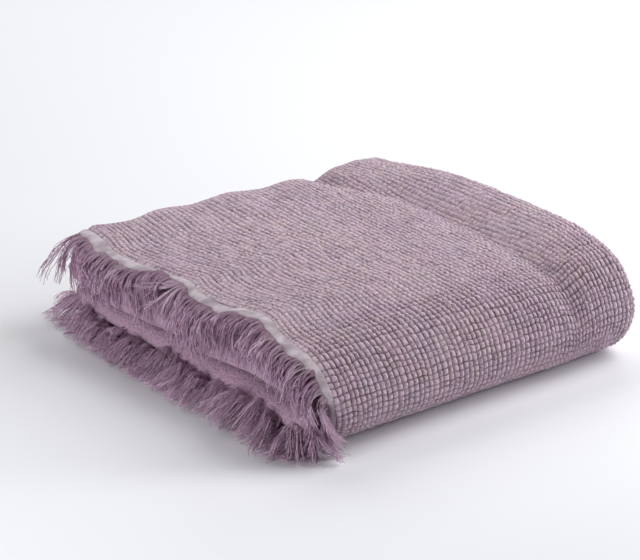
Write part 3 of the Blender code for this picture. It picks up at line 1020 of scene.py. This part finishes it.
MAUVE = srgb(212, 190, 206)
MAUVE_PINK = srgb(220, 190, 206)
MAUVE_SAND = srgb(216, 196, 197)
MAUVE_DEEP = srgb(198, 173, 202)
# painted shade: the darker mauve that the plain inner folds near the fringed end take
MAUVE_INNER_SHADE = srgb(186, 152, 177)
# painted shade: the colour that the grooves between cells and the small pits are darkened towards
GROOVE_SHADE = srgb(86, 60, 74)
TAPE_PALE = srgb(219, 206, 214)
TAPE_SHADE = srgb(172, 156, 166)
YARN = srgb(204, 163, 195)
YARN_PALE = srgb(236, 209, 230)
YARN_DEEP = srgb(140, 98, 130)
YARN_ROOT = srgb(146, 126, 133)
WHITE = srgb(248, 249, 253)

# How fine the patterns are, for each metre of cloth
DEEP_PATCHES = 9.0
PINK_PATCHES = 26.0
HELD_PATCHES = 45.0
SAND_PATCHES = 60.0
HEADING_PATCHES = 70.0
BROKEN_ROWS = 150.0
PITS = 260.0
CREPE = 380.0
MOTTLE = 420.0
HEADING_PICKS = 420.0
WEAVE = 500.0
TWIST = 900.0


def less(tree, value):
    """What is left of 1 once that value is taken away."""
    return maths(tree, "SUBTRACT", 1.0, value)


def times(tree, first, second):
    return maths(tree, "MULTIPLY", first, second)


def groove_shade(tree, thread):
    """1 in the grooves between cells, held tight over the front and broken on the slack top. It sets
    where shade is painted in and where the bump sinks.
    """
    apart = tree.nodes.new("ShaderNodeSeparateXYZ")
    tree.links.new(uv_place(tree, "cell"), apart.inputs["Vector"])
    dips = []
    for axis in ("X", "Y"):
        part = maths(tree, "FRACT", apart.outputs[axis])
        edge = maths(tree, "ABSOLUTE", maths(tree, "MULTIPLY_ADD", part, 2.0, -1.0))
        dips.append(maths(tree, "POWER", edge, 3.5))
    slack = attribute(tree, "slack")
    along_rib = tree.nodes.new("ShaderNodeCombineXYZ")
    rib = maths(tree, "ROUND", apart.outputs["X"])
    tree.links.new(times(tree, rib, 5.3), along_rib.inputs["X"])
    tree.links.new(times(tree, apart.outputs["Y"], 0.35), along_rib.inputs["Y"])
    tight = spread(tree, cloud(tree, along_rib.outputs["Vector"], 1.0, 1.0), 0.38, 0.60, 0.30, 1.0)
    broken = spread(tree, cloud(tree, thread, BROKEN_ROWS, 1.0), 0.42, 0.58, 0.75, 0.10)
    rib_dip = times(tree, dips[0], less(tree, times(tree, less(tree, tight), slack)))
    row_dip = times(tree, dips[1], less(tree, times(tree, broken, slack)))
    held = spread(tree, cloud(tree, thread, HELD_PATCHES, 2.0), 0.35, 0.65, 0.55, 1.0)
    return times(tree, maths(tree, "MAXIMUM", rib_dip, row_dip), held)


def cotton_colour(tree, thread):
    """Mauve in soft patches, warmer and deeper in places, with painted shade on the plain inner
    folds near the fringed end.
    """
    patches = spread(tree, cloud(tree, thread, PINK_PATCHES, 3.0), 0.35, 0.65)
    warm = spread(tree, cloud(tree, thread, SAND_PATCHES, 2.0), 0.48, 0.70)
    deep = spread(tree, cloud(tree, thread, DEEP_PATCHES, 2.0), 0.40, 0.75)
    mottle = spread(tree, cloud(tree, thread, MOTTLE, 4.0), 0.3, 0.7, 0.84, 1.11)
    colour = blend(tree, patches, MAUVE, MAUVE_PINK)
    colour = blend(tree, times(tree, warm, 0.7), colour, MAUVE_SAND)
    colour = blend(tree, times(tree, deep, 0.35), colour, MAUVE_DEEP)
    # painted shade on the plain inner folds near the fringed end
    colour = blend(tree, attribute(tree, "inner"), colour, MAUVE_INNER_SHADE)
    return blend(tree, 1.0, colour, mottle, "MULTIPLY")


def make_crinkle_cotton():
    """Crinkled gauze: a fine weave, slubs, soft tints, and painted shade in the grooves and small
    pits.
    """
    material, tree, shader = new_material("mauve_crinkle_cotton", 0.92, 0.25)
    thread = uv_place(tree, "thread")
    dip = groove_shade(tree, thread)
    pits = spread(tree, cloud(tree, thread, PITS, 2.0), 0.36, 0.50, 1.0, 0.0)
    colour = cotton_colour(tree, thread)
    # painted shade in the small sunken pits
    colour = blend(tree, times(tree, pits, 0.30), colour, GROOVE_SHADE)
    # painted shade in the grooves between cells
    colour = blend(tree, times(tree, dip, 0.90), colour, GROOVE_SHADE)
    tree.links.new(colour, shader.inputs["Base Color"])
    warp = lines(tree, thread, "X", WEAVE, 1.5)
    weft = lines(tree, thread, "Y", WEAVE, 1.5)
    crepe = cloud(tree, thread, CREPE, 3.0)
    raise_by(tree, shader, less(tree, dip), 0.0016, 0.7)
    raise_by(tree, shader, less(tree, pits), 0.0010, 0.6)
    raise_by(tree, shader, crepe, 0.0018, 0.7)
    raise_by(tree, shader, maths(tree, "MAXIMUM", warp, weft), 0.00015, 0.6)
    return material


def make_tape_cotton():
    """The heading: pale, flat and closely woven, with its threads showing, and painted shade in soft
    patches.
    """
    material, tree, shader = new_material("pale_heading_cotton", 0.85, 0.2)
    thread = uv_place(tree, "thread")
    # painted shade: soft patches darken the heading, standing in for the shade of its small folds;
    # the picks are darker threads of its weave
    patches = spread(tree, cloud(tree, thread, HEADING_PATCHES, 3.0), 0.38, 0.62)
    picks = lines(tree, thread, "Y", HEADING_PICKS, 2.0)
    colour = blend(tree, patches, TAPE_PALE, TAPE_SHADE)
    colour = blend(tree, times(tree, picks, 0.3), colour, TAPE_SHADE)
    tree.links.new(colour, shader.inputs["Base Color"])
    raise_by(tree, shader, patches, 0.0008, 0.5)
    raise_by(tree, shader, picks, 0.0002, 0.8)
    return material


def make_yarn():
    """Loose fringe threads: deeper near the heading, some paler, each with its twist."""
    material, tree, shader = new_material("mauve_fringe_yarn", 0.9, 0.25)
    outwards = attribute(tree, "outwards")
    tint = attribute(tree, "tint")
    pale = spread(tree, tint, 0.45, 0.95)
    dark = spread(tree, tint, 0.50, 0.10)
    root = spread(tree, outwards, 0.02, 0.45, 1.0, 0.0)
    place = object_place(tree)
    patches = spread(tree, cloud(tree, place, SAND_PATCHES, 2.0), 0.35, 0.65)
    colour = blend(tree, pale, YARN, YARN_PALE)
    colour = blend(tree, times(tree, root, 0.70), colour, YARN_ROOT)
    colour = blend(tree, dark, colour, YARN_DEEP)
    colour = blend(tree, times(tree, patches, 0.20), colour, YARN_DEEP)
    tree.links.new(colour, shader.inputs["Base Color"])
    twist = lines(tree, place, "DIAGONAL", TWIST, 1.0)
    raise_by(tree, shader, twist, 0.0002, 0.7)
    return material


def make_floor():
    """A wide pale floor under the throw."""
    mesh = bmesh.new()
    bmesh.ops.create_grid(mesh, x_segments=1, y_segments=1, size=FLOOR_REACH)
    floor = finish(mesh, "studio_floor", make_floor_paint())
    floor.location.z = FLOOR_LEVEL


def make_floor_paint():
    material, tree, shader = new_material("white_floor_paint", 0.6, 0.0)
    shader.inputs["Base Color"].default_value = WHITE
    return material


def aim(thing, target):
    way = target - thing.location
    thing.rotation_euler = way.to_track_quat("-Z", "Y").to_euler()


def make_light(name, place, target, size, power):
    data = bpy.data.lights.new(name, "AREA")
    data.shape = "SQUARE"
    data.size = size
    data.energy = power
    light = bpy.data.objects.new(name, data)
    light.location = place
    aim(light, Vector(target))
    bpy.context.scene.collection.objects.link(light)


def make_studio():
    scene = bpy.context.scene
    scene.view_settings.view_transform = "Standard"
    world = bpy.data.worlds.new("studio_air")
    world.use_nodes = True
    sky = world.node_tree.nodes["Background"]
    sky.inputs["Color"].default_value = (1.0, 1.0, 1.0, 1.0)
    sky.inputs["Strength"].default_value = AIR_GLOW
    scene.world = world
    for lamp in LAMPS:
        make_light(*lamp)


def make_camera():
    level = math.cos(VIEW_DOWN)
    way = Vector((
        math.sin(VIEW_AZIMUTH) * level, math.cos(VIEW_AZIMUTH) * level, -math.sin(VIEW_DOWN),
    ))
    data = bpy.data.cameras.new("studio_camera")
    data.lens = VIEW_LENS
    camera = bpy.data.objects.new("studio_camera", data)
    camera.location = VIEW_TARGET - way * VIEW_DISTANCE
    aim(camera, VIEW_TARGET)
    bpy.context.scene.collection.objects.link(camera)
    bpy.context.scene.camera = camera


def main():
    noise.seed_set(NOISE_SEED)
    cotton = make_crinkle_cotton()
    tape = make_tape_cotton()
    yarn = make_yarn()
    cloth = make_cloth(cotton)
    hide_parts("blanket_cloth")
    heading = make_heading("heading_open_end", open_heading_point, tape)
    hidden_heading = make_heading("heading_tucked_end", hidden_heading_point, tape)
    outer_threads = open_end_threads(0.0, RUN, OUTER_SEED)
    inner_threads = open_end_threads(RUN + TURN_ARC, FLAT_WIDTH, INNER_SEED)
    outer = make_fringe("fringe_outer_layer", outer_threads, yarn)
    inner = make_fringe("fringe_inner_layer", inner_threads, yarn)
    hidden = make_fringe("fringe_tucked", hidden_threads(), yarn)
    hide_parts("fringe_open_end")
    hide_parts("fringe_tucked_end")
    trimmings = [heading, hidden_heading, outer, inner, hidden]
    for piece in [cloth] + trimmings:
        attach(piece, "root")
    make_floor()
    make_studio()
    make_camera()


main()
